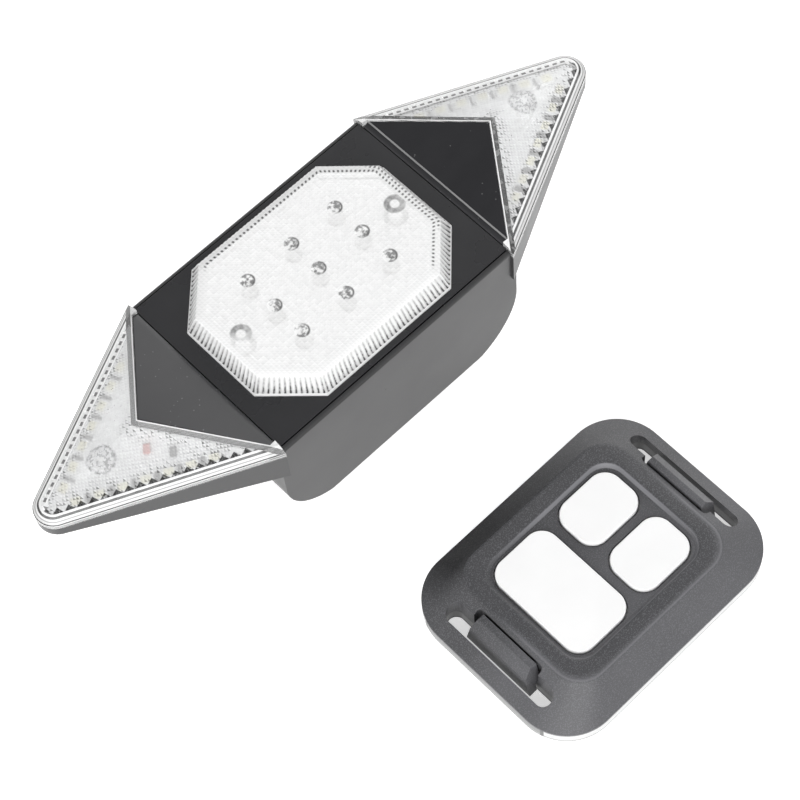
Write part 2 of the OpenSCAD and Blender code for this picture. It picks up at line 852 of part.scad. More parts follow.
// Bar at the slot's inner edge with a flat top, a sloping outer face and leaning ends
module strap_hook() {
  below = 0.5;
  top_w = 1.4;
  slope_w = 1.8;
  slope_h = 2.2;
  end_lean = 1.5;
  low = 0.9;
  top = remote_h - below;
  x0 = strap_x - strap_w / 2 + gap;
  x1 = hook_x + top_w + slope_w;
  intersection() {
    translate([0, hook_l / 2, 0]) rotate([90, 0, 0]) linear_extrude(height = hook_l)
      polygon([[x0, low], [x1, low], [x1, top - slope_h], [hook_x + top_w, top], [hook_x, top],
        [hook_x, base_h], [x0, base_h]]);
    rotate([90, 0, 90]) linear_extrude(height = remote_l)
      polygon([[-hook_l / 2, low], [hook_l / 2, low], [hook_l / 2 - end_lean, top],
        [end_lean - hook_l / 2, top]]);
  }
}

// Notch in the cover behind a hook
module hook_notch() {
  notch_r = 0.8;
  x0 = hook_x - hook_gap;
  translate([(x0 + strap_x) / 2, 0, base_h + hook_foot])
    rounded_slab(strap_x - x0, hook_l, notch_r, remote_h);
}

// Places its children at both strap slots
module at_slots() {
  for (x = [-1, 1]) translate([x * strap_x, 0, 0]) children();
}

module remote_cover() {
  edge = 0.4;
  color([0.16, 0.16, 0.17]) on_remote() {
    difference() {
      union() {
        translate([0, 0, base_h]) rounded_slab(remote_l, remote_w, remote_r, rim_h);
        taper([remote_l, remote_w, remote_r], base_h + rim_h - eps, shoulder, shoulder_h);
        taper(shoulder, shoulder_h - eps, rim, remote_h);
      }
      taper(dish, cover_floor, rim - [2 * edge, 2 * edge, edge], remote_h + eps);
      taper([cavity_l, cavity_w, cavity_r], base_h - over, [rboard_l, rboard_w, cavity_r], cover_under);
      for (k = KEYS) translate([k[0], k[1], cover_under - over])
        rounded_slab(k[2] + 2 * gap, k[3] + 2 * gap, key_r + gap, remote_h);
      at_slots() strap_hole(base_h - over, remote_h);
      for (s = [0, 1]) mirror([s, 0, 0]) hook_notch();
      at_remote_screws() translate([0, 0, rscrew_z]) cylinder(d = screw_d, h = rscrew_l + screw_end);
    }
    for (s = [0, 1]) mirror([s, 0, 0]) strap_hook();
  }
}

module remote_base() {
  color([0.82, 0.82, 0.82]) on_remote() {
    difference() {
      translate([0, 0, pad_h]) rounded_slab(remote_l, remote_w, remote_r, base_h - pad_h);
      translate([0, 0, base_floor]) rounded_slab(cavity_l, cavity_w, cavity_r, base_h);
      at_slots() strap_hole(-over, base_h + over);
      at_remote_screws() {
        cylinder(d = screw_d + head_gap, h = base_h + over);
        cylinder(d = head_d + head_gap, h = rscrew_z);
      }
    }
    for (x = [-1, 1], y = [-1, 1])
      translate([x * stand_x - stand_w / 2, y * stand_y - stand_w / 2, base_floor - eps])
        cube([stand_w, stand_w, rboard_z - base_floor + eps]);
  }
}

module remote_pad() {
  inset = 0.3;
  color([0.4, 0.4, 0.41]) on_remote() difference() {
    rounded_slab(remote_l - 2 * inset, remote_w - 2 * inset, remote_r - inset, pad_h);
    at_slots() strap_hole(-over, base_h);
    at_remote_screws() translate([0, 0, -over]) cylinder(d = head_d + head_gap, h = pad_h + 2 * over);
  }
}

module remote_board() {
  color(green) on_remote()
    translate([-rboard_l / 2, -rboard_w / 2, rboard_z]) cube([rboard_l, rboard_w, rboard_t]);
}

module remote_chip() {
  chip = [2.6, 5, 0.6];
  side = 7;
  color([0.08, 0.08, 0.08]) on_remote()
    translate([big_x - chip.x / 2, side - chip.y / 2, switch_z]) cube(chip);
}

module key_switches() {
  color([0.75, 0.75, 0.75]) on_remote()
    for (k = KEYS) translate([k[0], k[1], switch_z]) difference() {
      translate([-switch_w / 2, -switch_w / 2, 0]) cube([switch_w, switch_w, switch_h]);
      translate([0, 0, switch_floor]) cylinder(r = rplunger_r + gap, h = switch_h);
    }
}

module coin_cell() {
  step_h = 0.5;
  step_w = 1.2;
  color(metal) on_remote() translate([0, 0, coin_z]) {
    cylinder(d = coin_d, h = coin_h - step_h);
    cylinder(d = coin_d - 2 * step_w, h = coin_h);
  }
}

module cell_clip() {
  reach = coin_d / 2 + 0.6;
  w = 6;
  arm_t = 0.4;
  color([0.8, 0.75, 0.5]) on_remote() {
    translate([-reach, -w / 2, base_floor]) cube([2 * reach, w, clip_t]);
    for (s = [0, 1]) mirror([s, 0, 0])
      translate([reach, -w / 2, base_floor]) cube([arm_t, w, rboard_z - base_floor]);
  }
}

module remote_screws() {
  color(metal) on_remote() at_remote_screws() translate([0, 0, rscrew_z])
    screw(screw_d, rscrew_l, head_d, head_h);
}

// One key: cap, flange under the cover and a stem over its switch
module key(k) {
  color(white) on_remote() translate([k[0], k[1], 0]) {
    difference() {
      union() {
        translate([0, 0, key_flange_z])
          rounded_slab(k[2] + 2 * key_flange, k[3] + 2 * key_flange, key_r + key_flange, key_flange_h);
        translate([0, 0, key_flange_z]) rounded_slab(k[2], k[3], key_r, key_top - key_flange_z);
      }
      translate([0, 0, key_flange_z - over])
        rounded_slab(k[2] - 2 * key_wall, k[3] - 2 * key_wall, key_r - key_wall,
          key_top - key_roof - key_flange_z + over);
    }
    translate([0, 0, rplunger_z + rplunger_h])
      cylinder(d = stem_d, h = key_top - key_roof - rplunger_z - rplunger_h + eps);
  }
}

// Switch plunger under one key
module key_plunger(k) {
  color([0.3, 0.3, 0.3]) on_remote() translate([k[0], k[1], rplunger_z])
    cylinder(r = rplunger_r, h = rplunger_h);
}

module large_key() {
  key(KEYS[0]);
}

module large_plunger() {
  key_plunger(KEYS[0]);
}

module left_key() {
  key(KEYS[1]);
}

module left_plunger() {
  key_plunger(KEYS[1]);
}

module right_key() {
  key(KEYS[2]);
}

module right_plunger() {
  key_plunger(KEYS[2]);
}

rear_housing();
seal_ring();
front_bezel();
left_wing_cap();
right_wing_cap();
centre_lens();
left_wing_lens();
right_wing_lens();
reflector();
signal_leds();
main_board();
radio_module();
left_wing_board();
right_wing_board();
left_wing_leds();
right_wing_leds();
lens_screws();
rear_screws();
battery_cradle();
battery_cell();
plus_tab();
minus_tab();
power_switch();
power_plunger();
power_button();
charging_socket();
port_flap();
remote_cover();
remote_base();
remote_pad();
remote_board();
remote_chip();
key_switches();
coin_cell();
cell_clip();
remote_screws();
large_key();
large_plunger();
left_key();
left_plunger();
right_key();
right_plunger();
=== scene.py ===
"""Looks of a bicycle turn signal light and its wireless remote."""
import json
import math

import bmesh
import bpy
from mathutils import Matrix, Vector
from mathutils.geometry import delaunay_2d_cdt


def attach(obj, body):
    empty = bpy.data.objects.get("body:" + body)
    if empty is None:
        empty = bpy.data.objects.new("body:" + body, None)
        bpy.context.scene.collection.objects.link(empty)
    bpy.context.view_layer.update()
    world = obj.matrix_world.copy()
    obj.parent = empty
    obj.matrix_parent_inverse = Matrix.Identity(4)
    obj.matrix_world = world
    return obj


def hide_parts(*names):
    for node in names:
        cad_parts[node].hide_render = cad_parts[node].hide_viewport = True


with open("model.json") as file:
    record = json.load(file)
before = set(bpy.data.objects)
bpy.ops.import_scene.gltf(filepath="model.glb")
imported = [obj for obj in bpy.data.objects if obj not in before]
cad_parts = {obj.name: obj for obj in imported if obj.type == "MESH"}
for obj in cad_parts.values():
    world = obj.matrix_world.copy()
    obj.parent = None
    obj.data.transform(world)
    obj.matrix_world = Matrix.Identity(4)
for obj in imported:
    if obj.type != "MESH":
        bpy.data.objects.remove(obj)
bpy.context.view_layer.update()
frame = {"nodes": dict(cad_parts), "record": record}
nodes = frame["nodes"]

# Sizes of the part in millimetres, as in its source
MM = 0.001
FACE = 30.5
RIM = 28.9
LENS_L, LENS_W, LENS_CUT = 50.4, 37.6, 9.5
LENS_H, LENS_SEAT, LENS_T = 4.2, 0.6, 1.0
POST_X, POST_R = 19.5, 2.25
BOARD_TOP = 28.1
LED_PITCH_X, LED_PITCH_Y, LED_R, LED_H = 11.1, 7.5, 1.5, 5.3
MESH_PITCH = 0.7
HATCH_PITCH, HATCH_TURN, TOOTH_PITCH, DASH_PITCH = 0.62, 0.6, 2.2, 1.6
WING_ROOT, RIDGE_X, PEAK_X, CAP_Y = 28.95, 30.2, 44.6, 19.2
WING_TIP, WING_SLOPE, TIP_R = 74.6, 0.48, 4.1
WING_ANGLE = math.atan(WING_SLOPE)
TIP_C = WING_TIP - TIP_R / math.sin(WING_ANGLE)
PEAK_H = 4.9
WING_T = 1.1
WING_POST_X, WING_POST_TOP = 53.5, 32.6
WING_BOARD_TOP = 28.8
ARM_START, ARM_PITCH, ARM_INSET, ARM_LEDS = 12.4, 4.3, 4.0, 7
CAP_EDGE = math.atan(CAP_Y / (PEAK_X - RIDGE_X))
REMOTE_X, REMOTE_Y = 1.6, -69.5
REMOTE_L = 58.5
REMOTE_TOP, SHOULDER, HOOK_TOP, SKIRT_FOOT = 9.8, 9.5, 9.3, 3.7
DISH_L, DISH_W, DISH_CORNER, DISH_DEPTH = 35.3, 27.6, 2.75, 0.8
SLOT_X, SLOT_W, SLOT_L = 24.55, 2.0, 13.4


class Value:
    """A number or colour that changes over a surface, with the sums done on it."""

    def __init__(self, finish, socket):
        self.finish = finish
        self.socket = socket

    def math(self, how, *others):
        """Adds a Math node that works on this value and the others."""
        return self.finish.node("ShaderNodeMath", {"operation": how}, dict(enumerate((self, *others))))

    def __add__(self, other):
        return self.math("ADD", other)

    def __sub__(self, other):
        return self.math("SUBTRACT", other)

    def __rsub__(self, other):
        return self.finish.node("ShaderNodeMath", {"operation": "SUBTRACT"}, {0: other, 1: self})

    def __mul__(self, other):
        return self.math("MULTIPLY", other)

    def __truediv__(self, other):
        return self.math("DIVIDE", other)

    def __gt__(self, other):
        return self.math("GREATER_THAN", other)

    def __lt__(self, other):
        return self.math("LESS_THAN", other)

    def __abs__(self):
        return self.math("ABSOLUTE")

    def clip(self):
        """Keeps the value between 0 and 1."""
        return self.finish.node("ShaderNodeClamp", sockets={0: self})

    __radd__ = __add__
    __rmul__ = __mul__


class Finish:
    """A material, or the world, and the nodes that make it."""

    def __init__(self, name, stock=bpy.data.materials):
        self.owner = stock.new(name)
        self.owner.use_nodes = True
        self.tree = self.owner.node_tree
        self.tree.nodes.clear()

    def node(self, kind, settings=None, sockets=None, out=0):
        """Adds a node with its settings and its sockets' values or links, and returns one of its outputs."""
        made = self.tree.nodes.new(kind)
        for key, value in (settings or {}).items():
            if key == "stops":
                ramp = made.color_ramp
                while len(ramp.elements) < len(value):
                    ramp.elements.new(1)
                for element, (place, level) in zip(ramp.elements, value):
                    element.position = place
                    element.color = (level, level, level, 1)
            else:
                setattr(made, key, value)
        for key, value in (sockets or {}).items():
            if isinstance(value, Value):
                self.tree.links.new(value.socket, made.inputs[key])
            else:
                made.inputs[key].default_value = value
        return Value(self, made.outputs[out]) if made.outputs else None

    def place(self, stretch=(1, 1, 1), turn=0.0):
        """Object coordinates in millimetres, turned about Z."""
        spot = self.node("ShaderNodeTexCoord", out="Object")
        return self.node("ShaderNodeMapping", sockets={
            "Vector": spot, "Rotation": (0, 0, turn), "Scale": tuple(s / MM for s in stretch)})

    def axes(self, turn=0.0):
        """The three object coordinates in millimetres, turned about Z."""
        spot = self.place(turn=turn)
        return [self.node("ShaderNodeSeparateXYZ", sockets={0: spot}, out=k) for k in range(3)]

    def noise(self, size, detail=2.0, stretch=(1, 1, 1)):
        """Cloudy noise whose lumps are about size millimetres across."""
        return self.node("ShaderNodeTexNoise", sockets={
            "Vector": self.place(stretch), "Scale": 1 / size, "Detail": detail})

    def cells(self, size):
        """Distance to scattered points about size millimetres apart."""
        return self.node("ShaderNodeTexVoronoi", sockets={"Vector": self.place(), "Scale": 1 / size})

    def mark(self, name):
        """A number kept on the mesh's points."""
        return self.node("ShaderNodeAttribute", {"attribute_name": name}, out="Fac")

    def mix(self, share, a, b):
        """Colour that goes from a to b, each a colour or one grey level."""
        def colour(c):
            if isinstance(c, Value):
                return c
            return (*c, 1) if isinstance(c, tuple) else (c, c, c, 1)

        return self.node("ShaderNodeMix", {"data_type": "RGBA"}, {0: share, 6: colour(a), 7: colour(b)}, out=2)

    def ramp(self, value, *stops):
        """Grey level that follows stops of place and level."""
        return self.node("ShaderNodeValToRGB", {"stops": stops}, {"Fac": value})

    def bump(self, height, depth):
        """Normal of a relief that is depth millimetres high."""
        return self.node("ShaderNodeBump", sockets={"Height": height, "Distance": depth * MM})

    def shader(self, colour, roughness, **sockets):
        """A Principled shader, its other sockets named with _ for each space."""
        given = {"Base Color": colour if isinstance(colour, Value) else (*colour, 1), "Roughness": roughness}
        given.update({key.replace("_", " "): value for key, value in sockets.items()})
        return self.node("ShaderNodeBsdfPrincipled", sockets=given)

    def close(self, shader):
        """Ends the material in a shader."""
        self.node("ShaderNodeOutputMaterial", sockets={"Surface": shader})
        return self.owner

    def open_to_light(self):
        """Alpha that lets lamp light through to what lies inside."""
        return 1 - self.node("ShaderNodeLightPath", out="Is Shadow Ray") * 0.92


def shade(colour, factor):
    """A colour made darker or paler by a factor."""
    return tuple(min(1, c * factor) for c in colour)


def remote_shell(name, colour, rough):
    """Textured shell of the remote, with painted light and shade: painted shade on the far skirt, the near
    skirts painted paler, and painted highlights along their shoulder and on the far sides of the dish's
    sloping edge.
    """
    f = Finish(name)
    x, y, z = f.axes()
    u, v = x - REMOTE_X, y - REMOTE_Y
    slow, fine = f.noise(9, 3), f.noise(0.22, 3)
    # Painted light: near skirts made paler, and a painted highlight line along their shoulder
    skirt = z < SHOULDER - 0.2
    near = (0.6 - v * 0.1).clip()
    line = (1 - abs(z - (SHOULDER - 0.05)) * 6).clip() * near
    # Painted highlight on the sloping edge of the dish on its far sides, inside its rounded corners
    corner = (DISH_L + DISH_W) / 2 - DISH_CORNER
    dish = (abs(u) < DISH_L / 2) * (abs(v) < DISH_W / 2) * (abs(u) + abs(v) < corner)
    sunk = REMOTE_TOP - 0.04 - z
    lit = (u * 0.06 + v * 0.08).clip()
    dish_highlight = ((DISH_DEPTH / 2 - 0.04 - abs(sunk - DISH_DEPTH / 2)) * 8).clip() * dish * lit
    # Painted shade on the far skirt, fading at both ends
    along = u * 0.12 + 3.24
    far_skirt_shade = skirt * (v * 0.3 - 4.2).clip() * along.clip() * (1.7 - along * 0.3).clip()
    tone = f.mix(far_skirt_shade * 0.8, f.mix(slow, shade(colour, 0.85), shade(colour, 1.15)), shade(colour, 0.15))
    tone = f.mix(skirt * near, tone, f.mix(slow, shade(colour, 1.35), shade(colour, 1.7)))
    tone = f.mix(line, f.mix(dish_highlight, tone, shade(colour, 3.2)), shade(colour, 2.6))
    tone = f.mix((fine > 0.56) * (0.3 - far_skirt_shade * 0.2), tone, shade(colour, 3.6))
    dull = slow * 0.16 + (rough - 0.08) + far_skirt_shade * 0.45
    return f.close(f.shader(tone, dull, Normal=f.bump(fine, 0.03), Specular_IOR_Level=0.4))


def moulded(name, colour, rough, grain=0.25, depth=0.012, sway=0.18):
    """Moulded plastic with a fine grain and slow changes of tone."""
    f = Finish(name)
    slow = f.noise(9, 3)
    fine = f.noise(grain, 3)
    tone = f.mix(slow, shade(colour, 1 - sway), shade(colour, 1 + sway))
    return f.close(f.shader(tone, slow * 0.16 + (rough - 0.08), Normal=f.bump(fine, depth)))


def dusty(name, colour, rough):
    """Smooth dark plastic with faint dust on it, and a painted highlight line along the right cap's ridge."""
    f = Finish(name)
    dust = (f.cells(1.4) < 0.09) * (f.noise(6, 1) > 0.47)
    smear = f.noise(14, 4, (1, 2.5, 1))
    # Painted highlight: a pale line along the ridge of the right cap
    ridge = abs(f.axes()[0] - RIDGE_X) < 0.16
    tone = f.mix((dust * 0.4).math("MAXIMUM", ridge * 0.8), f.mix(smear, colour, shade(colour, 1.35)), 0.3)
    dull = smear * 0.14 + (rough - 0.07) + dust * 0.3
    return f.close(f.shader(tone, dull, Normal=f.bump(f.noise(0.4, 2), 0.004)))


def plated(name, colour, rough):
    """Plated metal with fine drawn lines."""
    f = Finish(name)
    lines = f.noise(0.5, 3, (1, 6, 1))
    return f.close(f.shader(f.mix(lines, shade(colour, 0.85), colour), lines * 0.2 + (rough - 0.1),
                            Metallic=1.0, Normal=f.bump(lines, 0.004)))


def glass(f, rough=0.03, tint=(0.97, 0.98, 0.99)):
    """Clear plastic that lets the studio's light in."""
    flow = f.noise(3, 2)
    return f.shader(f.mix(flow, tint, shade(tint, 1.02)), flow * 0.03 + rough, Alpha=f.open_to_light(),
                    Transmission_Weight=1.0, IOR=1.49)


def clear(name, rough=0.03, tint=(0.97, 0.98, 0.99)):
    """A material of clear plastic alone."""
    f = Finish(name)
    return f.close(glass(f, rough, tint))


def frosted(f, veil, tone, relief, lit=0.0):
    """Clear plastic whose fine prisms veil what lies behind with their own facets, lit through from inside."""
    facets = f.shader(tone, 0.22, Alpha=f.open_to_light(), Normal=relief)
    if lit:
        through = f.node("ShaderNodeBsdfTranslucent", sockets={"Color": (0.95, 0.95, 0.95, 1)})
        facets = f.node("ShaderNodeMixShader", sockets={0: lit, 1: facets, 2: through})
    return f.close(f.node("ShaderNodeMixShader", sockets={0: veil, 1: glass(f), 2: facets}))


def prisms(f, pitch, turn=0.0):
    """Painted light and shade of square prisms, each facet lighter or darker by the way it faces, their
    relief, and a level that differs from prism to prism.
    """
    u, v = (axis / pitch for axis in f.axes(turn)[:2])
    a, b = (axis.math("FRACT") - 0.5 for axis in (u, v))
    # Painted shade: facets that face one way are lighter, those that face the other way darker
    steep = abs(a) > abs(b)
    light = a.math("SIGN") * steep * 0.2 + b.math("SIGN") * (1 - steep) * 0.14 + 0.78
    cell = f.node("ShaderNodeCombineXYZ", sockets={0: u.math("FLOOR"), 1: v.math("FLOOR")})
    chance = f.node("ShaderNodeTexWhiteNoise", {"noise_dimensions": "2D"}, {"Vector": cell})
    return light, abs(a).math("MAXIMUM", abs(b)), chance


def ribbed_side(name):
    """Side of the centre lens: pale ribs with painted shade at the foot of their grooves, which fades towards
    the top.
    """
    f = Finish(name)
    crest, rise = f.mark("crest"), f.mark("rise")
    broken = f.noise(0.6, 2) * 1.6 + 0.1
    # Painted shade in the grooves, darkest at their foot and fading upwards
    groove_shade = ((crest * 1.7 - 0.5) * (1.15 - rise * 0.85) * broken).clip()
    tone = f.mix(groove_shade, f.noise(0.7, 2) * 0.16 + 0.84, 0.06)
    return frosted(f, groove_shade * 0.2 + 0.76, tone, f.bump(crest, 0.06), (1 - groove_shade) * 0.25)


def lens_foot(name):
    """Foot and inner wall of a lens: bright where light leaves the plastic."""
    f = Finish(name)
    veil, tone = f.noise(1.5, 2) * 0.1 + 0.85, f.mix(f.noise(4, 2), 0.9, 1.0)
    return frosted(f, veil, tone, f.bump(f.noise(0.6, 2), 0.01), 0.3)


def lens_brim(name):
    """Border of the lens's top: the prism mesh, with rows of short grey dashes of painted shade on the far
    sides, where the ribs' ends show through.
    """
    f = Finish(name)
    light, relief, chance = prisms(f, MESH_PITCH)
    x, y = f.axes()[:2]
    # Painted shade on the far sides only: dashes where the ribs' ends show through the top
    far = ((x + y + 1) * 0.5).clip()
    crest, inset = f.mark("crest"), f.mark("inset")
    inner, outer = ((1.5 - abs(inset - place) * 4).clip() for place in (3.2, 2.35))
    dash = ((crest - 0.4) * 4).clip() * inner.math("MAXIMUM", outer * (x - 21).clip()) * far
    tone = f.mix(dash, f.mix(light * 0.9 + chance * 0.1, 0.74, 1.0), 0.12)
    return frosted(f, dash * 0.15 + 0.75, tone, f.bump(relief, 0.06))


def meshed_top(name):
    """Top of the centre lens: a fine prism mesh, with painted blurred images of the lights and the posts below
    it.
    """
    f = Finish(name)
    light, relief, chance = prisms(f, MESH_PITCH)
    x, y = f.axes()[:2]
    blot = f.noise(0.8, 2) - 0.5
    # Painted blurred images of the lights, each with painted shade on one side
    u, v = (((axis / pitch + 0.5).math("FRACT") - 0.5) * pitch
            for axis, pitch in ((x, LED_PITCH_X), (y, LED_PITCH_Y)))
    among = (abs(x) < LED_PITCH_X * 1.5) * (abs(y) < LED_PITCH_Y * 1.5)
    reach = (u * u + v * v).math("SQRT")
    disc = ((1.6 - reach + blot * 0.4) * 5).clip() * among
    edge = (1.2 - abs(reach - 1.3) * 4).clip() * (u * 0.4 - v * 0.25 + 0.4).clip()
    inside = f.mix((blot * 6 - u * 0.25 + 0.5).clip(), 0.24, 0.97)
    # Painted blurred images of the two posts' rings, with painted shade on one side
    side = x - x.math("SIGN") * POST_X
    ring = (2.2 - abs((side * side + y * y).math("SQRT") - 1.5) * 3.0).clip()
    ring = ring * (side * 0.3 + y * 0.25 + 0.75).math("MAXIMUM", x > 0).clip()
    tone = f.mix(light * 0.9 + chance * 0.1, 0.72, 1.0)
    tone = f.mix(disc, tone, f.mix(edge, inside, 0.1))
    tone = f.mix(ring, tone, f.mix((blot * 2 + 0.5 + (side - y) * 0.15).clip(), 0.2, 0.55))
    veil = (chance * 0.08 + 0.74).math("MAXIMUM", disc.math("MAXIMUM", ring) * 0.85)
    return frosted(f, veil, tone, f.bump(relief, 0.06))


def wing_skin(name):
    """Skin of a wing lens: stepped clear border in painted highlight and shade lines, rows of prisms and
    dashes in painted shade, a band of painted shade along the notch, and a cross-hatched middle.
    """
    f = Finish(name)
    edge, along, notch = f.mark("edge"), f.mark("along"), f.mark("notch")
    x, y = f.axes()[:2]
    # Cross-hatched middle, with painted shade in dark flecks near the edges, and a painted image of the ring
    # of the post below
    light, relief, chance = prisms(f, HATCH_PITCH, HATCH_TURN)
    busy = ((6.5 - edge) * 0.35).clip().math("MAXIMUM", ((4.5 - notch) * 0.4).clip() * (y < 2)) * 0.9 + 0.1
    blot = f.noise(0.6, 3)
    fleck = ((chance - 0.35) * 4).clip() * (light < 0.7) * busy * (blot * 1.6).clip()
    side, up = abs(x + 0.5) - WING_POST_X, y + 0.5
    reach = (side * side + up * up).math("SQRT")
    ring = ((1.0 - abs(reach - 2.5) * 2.0) * (blot * 3 - 0.9)).clip()
    ring = ring.math("MAXIMUM", (reach < 2.3) * (blot > 0.53) * 0.6)
    hatch = f.mix(light * 0.6 + chance * 0.4, 0.74, 1.0)
    hatch = f.mix(fleck.math("MAXIMUM", ring), hatch, 0.14)
    # Painted shade: dark teeth along the edge, stronger on the near arm
    wave = abs((along / TOOTH_PITCH).math("FRACT") - 0.5) * 2
    near = (y < 0) * 0.4 + 0.6
    teeth = ((wave - (edge - 1.85) / 1.05) * 5).clip() * (edge > 1.8) * (notch > 1.2) * near
    teeth = teeth * ((blot - 0.1) * 3).clip()
    # Steps of the clear border, from the edge inwards, in painted highlight and shade lines
    steps = f.ramp(edge / 2, (0.0, 0.04), (0.06, 0.05), (0.09, 0.8), (0.22, 0.8), (0.25, 0.35), (0.31, 0.4),
                   (0.34, 0.9), (0.47, 0.9), (0.5, 0.04), (0.67, 0.05), (0.7, 1.0), (0.87, 1.0))
    inside = edge > 1.75
    # Painted shade: a row of dashes along the far arm, where the inside of the lens shows through
    far = (y > 0) * inside * (edge < 3.1) * (notch > 1.2)
    dash = ((along / DASH_PITCH).math("FRACT") < 0.55) * (abs(edge - 2.45) < 0.28)
    tone = f.mix(inside, steps, f.mix(teeth, hatch, 0.03))
    tone = f.mix(far, tone, f.mix(dash, blot * 0.4 + 0.7, 0.22))
    # Band along the notch: painted shade where the dark cap shows through, darker bars on the right wing, and
    # a painted highlight line at the notch's edge
    bars = (f.noise(1.4, 1) > 0.44) * (x > 0)
    band = f.mix(notch < 0.22, f.mix(bars, 0.22, 0.06), 1.0)
    by_notch = notch < 1.15
    tone = f.mix(by_notch, tone, band)
    veil = teeth * 0.45 + 0.42 + fleck * inside * 0.4 + (1 - inside) * 0.36
    veil = veil.math("MAXIMUM", far.math("MAXIMUM", ring) * 0.8)
    return frosted(f, f.mix(by_notch, veil, (x > 0) * 0.25 + 0.6), tone, f.bump(relief * inside, 0.08))


def lens_rim(name):
    """Upright edge of a lens: clear, with painted highlight lines along it."""
    f = Finish(name)
    z = f.axes()[2]
    # Painted highlight lines, with darker lines between them
    lines = abs((z / 0.7).math("FRACT") - 0.5) * 2
    return frosted(f, lines * 0.3 + 0.35, f.mix(lines, 0.25, 0.95), f.bump(f.noise(1.2, 2), 0.01))


def base_band(name):
    """Pale base of the remote: greyer on its left side behind a seam, with painted shade in the slots and a
    painted shadow line at the foot.
    """
    f = Finish(name)
    x, y, z = f.axes()
    end = REMOTE_X - REMOTE_L / 2 + 0.6
    slow = f.noise(6, 3)
    side = f.mix(z < 1.3, f.mix(slow, 0.2, 0.27), f.mix(slow, 0.38, 0.46))
    band = f.mix(x < end, f.mix(slow, 0.6, 0.72), side)
    # A dark seam line, and a painted shadow line along the foot
    dark = (abs(x - end) < 0.12).math("MAXIMUM", (z < 1.0) * 0.5)
    # Painted shade inside the slots
    slot = (abs(abs(x - REMOTE_X) - SLOT_X) < SLOT_W) * (abs(y - REMOTE_Y) < SLOT_L)
    tone = f.mix(slot, f.mix(dark, band, 0.1), f.mix(slow, 0.05, 0.09))
    return f.close(f.shader(tone, slow * 0.15 + 0.25, Normal=f.bump(f.noise(0.4, 2), 0.006)))


# Finishes
HOUSING = moulded("housing_plastic", (0.030, 0.030, 0.031), 0.31, 0.5, 0.006)
BEZEL = moulded("bezel_plastic", (0.018, 0.018, 0.020), 0.28, 0.35, 0.004)
CAP = dusty("cap_plastic", (0.013, 0.013, 0.015), 0.36)
SEAL = moulded("seal_rubber", (0.05, 0.05, 0.05), 0.75)
CLEAR = clear("clear_plastic")
RIBS = ribbed_side("lens_ribs")
FOOT = lens_foot("lens_inner_wall")
BRIM = lens_brim("lens_brim")
MESH = meshed_top("lens_mesh")
SKIN = wing_skin("wing_prisms")
LENS_RIM = lens_rim("lens_rim")
EPOXY = clear("led_epoxy", 0.02, (0.96, 0.96, 0.93))
POST = moulded("post_plastic", (0.62, 0.62, 0.63), 0.3, 0.6)
REFLECTOR = moulded("white_plastic", (0.8, 0.8, 0.8), 0.35)
BOARD = moulded("green_board", (0.03, 0.16, 0.08), 0.4)
MODULE = moulded("blue_board", (0.03, 0.06, 0.22), 0.4)
WHITE_BOARD = moulded("white_board", (0.92, 0.92, 0.93), 0.4)
LED_BODY = moulded("led_body", (0.92, 0.92, 0.9), 0.4, 0.3)
PHOSPHOR = moulded("phosphor", (0.86, 0.82, 0.62), 0.5, 0.15)
CUP = plated("anvil_metal", (0.75, 0.75, 0.75), 0.4)
PARTS_BLACK = moulded("chip_black", (0.02, 0.02, 0.02), 0.4)
PARTS_RED = moulded("chip_red", (0.45, 0.10, 0.08), 0.4)
SOLDER = plated("solder", (0.4, 0.4, 0.4), 0.35)
STEEL = plated("plated_steel", (0.62, 0.62, 0.63), 0.32)
SPRING = plated("spring_brass", (0.72, 0.60, 0.36), 0.32)
CRADLE = moulded("cradle_plastic", (0.05, 0.05, 0.055), 0.5)
SLEEVE = moulded("cell_sleeve", (0.05, 0.16, 0.42), 0.3)
SWITCH = moulded("switch_plastic", (0.06, 0.06, 0.06), 0.45)
RUBBER = moulded("button_rubber", (0.055, 0.055, 0.057), 0.65, 0.3, 0.02)
COVER = remote_shell("cover_plastic", (0.058, 0.058, 0.062), 0.42)
BASE = base_band("base_plastic")
PAD = moulded("pad_rubber", (0.2, 0.2, 0.205), 0.7)
KEY = moulded("key_plastic", (0.89, 0.89, 0.89), 0.5, 0.3, 0.006, 0.04)

CAD_FINISH = {
    "rear_housing": HOUSING, "seal_ring": SEAL, "front_bezel": BEZEL, "left_wing_cap": CAP,
    "right_wing_cap": CAP, "centre_lens": CLEAR, "left_wing_lens": CLEAR, "right_wing_lens": CLEAR,
    "reflector": REFLECTOR,
    "signal_leds": EPOXY, "main_board": BOARD, "radio_module": MODULE, "left_wing_board": WHITE_BOARD,
    "right_wing_board": WHITE_BOARD, "left_wing_leds": PHOSPHOR, "right_wing_leds": PHOSPHOR,
    "lens_screws": STEEL, "rear_screws": STEEL, "battery_cradle": CRADLE, "battery_cell": SLEEVE,
    "plus_tab": STEEL, "minus_tab": STEEL, "power_switch": SWITCH, "power_plunger": SWITCH,
    "power_button": RUBBER, "charging_socket": STEEL, "port_flap": RUBBER, "remote_cover": COVER,
    "remote_base": BASE, "remote_pad": PAD, "remote_board": BOARD, "remote_chip": SWITCH,
    "key_switches": STEEL, "coin_cell": STEEL, "cell_clip": SPRING, "remote_screws": STEEL,
    "large_key": KEY, "left_key": KEY, "right_key": KEY, "large_plunger": SWITCH, "left_plunger": SWITCH,
    "right_plunger": SWITCH,
}

# Material slot and body of each CAD node
BODY_OF = {n: body for body, members in frame["record"]["behaviour"]["bodies"].items() for n in members}

for name, finish in CAD_FINISH.items():
    nodes[name].data.materials.clear()
    nodes[name].data.materials.append(finish)


